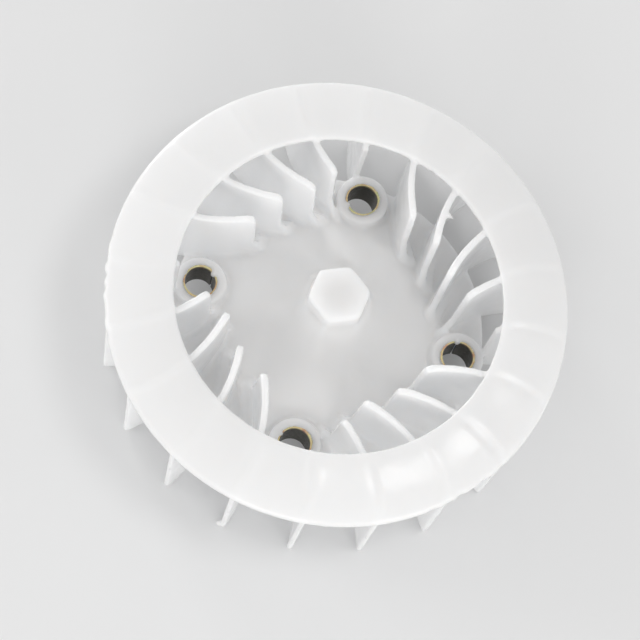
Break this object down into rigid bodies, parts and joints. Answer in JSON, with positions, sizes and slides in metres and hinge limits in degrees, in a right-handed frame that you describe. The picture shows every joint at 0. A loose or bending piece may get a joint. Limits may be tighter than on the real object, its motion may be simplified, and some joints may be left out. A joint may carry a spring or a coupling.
{
  "type": "centrifugal cooling fan",
  "caption": "Moulded centrifugal cooling fan: curved blades between a shroud ring and a bell-shaped hub plate, bolted on through split steel sleeves.",
  "frame": {"origin": "on the rotation axis, in the plane of the blades' lowest corners", "axes": "+Z along the rotation axis towards the air inlet, +X through the middle of one bolt sleeve"},
  "size_m": [0.133, 0.133, 0.0419],
  "materials": {
    "moulding": "natural white, satin, slightly translucent",
    "sleeve_steel": "yellow zinc plating, satin"
  },
  "bodies": {
    "root": {"impeller": "moulding", "bush_1": "sleeve_steel", "bush_2": "sleeve_steel", "bush_3": "sleeve_steel", "bush_4": "sleeve_steel"}
  },
  "joints": []
}
